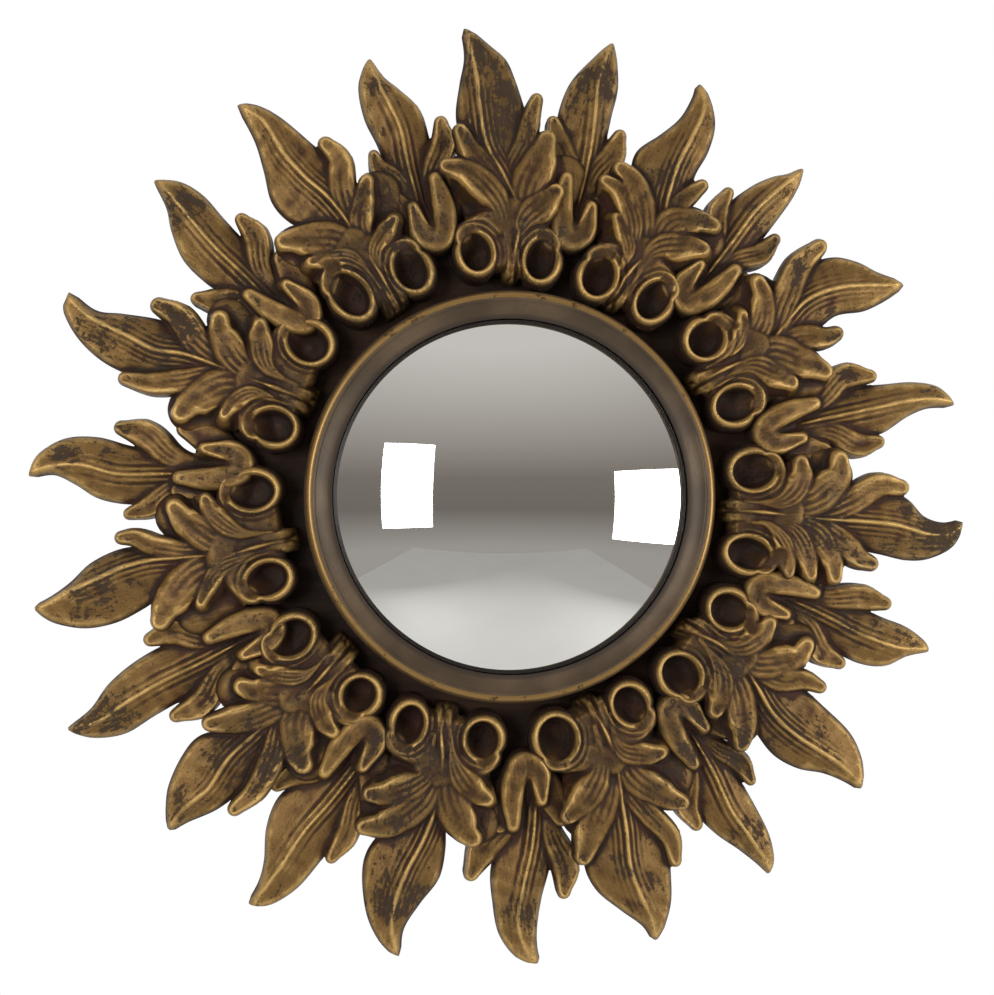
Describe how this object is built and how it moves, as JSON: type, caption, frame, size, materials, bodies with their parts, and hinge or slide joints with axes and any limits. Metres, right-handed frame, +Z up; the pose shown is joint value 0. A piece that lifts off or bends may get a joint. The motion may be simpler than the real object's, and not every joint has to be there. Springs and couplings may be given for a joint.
{
  "type": "convex butlers mirror",
  "caption": "Round convex wall mirror in a turned gilt moulding, set in a sunburst of carved acanthus flame leaves with rolled volutes; hangs from a swinging ring.",
  "frame": {"origin": "centre of the mirror on the wall plane, where the back of the backing ring lies", "axes": "+Z up, +X to the right as seen from the front, -Y out of the wall towards the viewer"},
  "size_m": [0.5188, 0.06, 0.5184],
  "materials": {
    "silvered_glass": "polished silvered glass",
    "gilt_carving": "distressed gilding over dark bole",
    "gilt_moulding": "worn gilding with a smooth olive-brown cove",
    "spacer_wood": "plain sawn",
    "board_wood": "plain board, aged",
    "ring_wood": "dark stained",
    "brass_hardware": "dulled brass"
  },
  "bodies": {
    "frame": {"mirror_glass": "silvered_glass", "rim_moulding": "gilt_moulding", "glass_spacer_ring": "spacer_wood", "backing_board": "board_wood", "backing_ring": "ring_wood", "turn_button_screws": "brass_hardware", "hanger_strap": "brass_hardware", "hanger_screws": "brass_hardware", "front_leaf_01": "gilt_carving", "front_leaf_02": "gilt_carving", "front_leaf_03": "gilt_carving", "front_leaf_04": "gilt_carving", "front_leaf_05": "gilt_carving", "front_leaf_06": "gilt_carving", "front_leaf_07": "gilt_carving", "front_leaf_08": "gilt_carving", "front_leaf_09": "gilt_carving", "front_leaf_10": "gilt_carving", "front_leaf_11": "gilt_carving", "back_leaf_01": "gilt_carving", "back_leaf_02": "gilt_carving", "back_leaf_03": "gilt_carving", "back_leaf_04": "gilt_carving", "back_leaf_05": "gilt_carving", "back_leaf_06": "gilt_carving", "back_leaf_07": "gilt_carving", "back_leaf_08": "gilt_carving", "back_leaf_09": "gilt_carving", "back_leaf_10": "gilt_carving", "back_leaf_11": "gilt_carving"},
    "turn_button_1": {"turn_button_1": "brass_hardware"},
    "turn_button_2": {"turn_button_2": "brass_hardware"},
    "turn_button_3": {"turn_button_3": "brass_hardware"},
    "turn_button_4": {"turn_button_4": "brass_hardware"},
    "hanger_ring": {"hanger_ring": "brass_hardware"}
  },
  "joints": [
    {"name": "turn_button_1_pivot", "type": "hinge", "parent": "frame", "child": "turn_button_1", "pos_m": [0.07778, -0.0101, 0.07778], "axis": [0, 1, 0], "range_deg": [-90, 90]},
    {"name": "turn_button_2_pivot", "type": "hinge", "parent": "frame", "child": "turn_button_2", "pos_m": [0.07778, -0.0101, -0.07778], "axis": [0, 1, 0], "range_deg": [-90, 90]},
    {"name": "turn_button_3_pivot", "type": "hinge", "parent": "frame", "child": "turn_button_3", "pos_m": [-0.07778, -0.0101, -0.07778], "axis": [0, 1, 0], "range_deg": [-90, 90]},
    {"name": "turn_button_4_pivot", "type": "hinge", "parent": "frame", "child": "turn_button_4", "pos_m": [-0.07778, -0.0101, 0.07778], "axis": [0, 1, 0], "range_deg": [-90, 90]},
    {"name": "hanger_ring_swing", "type": "hinge", "parent": "frame", "child": "hanger_ring", "pos_m": [0, -0.0056, 0.127], "axis": [1, 0, 0], "range_deg": [0, 180]}
  ]
}
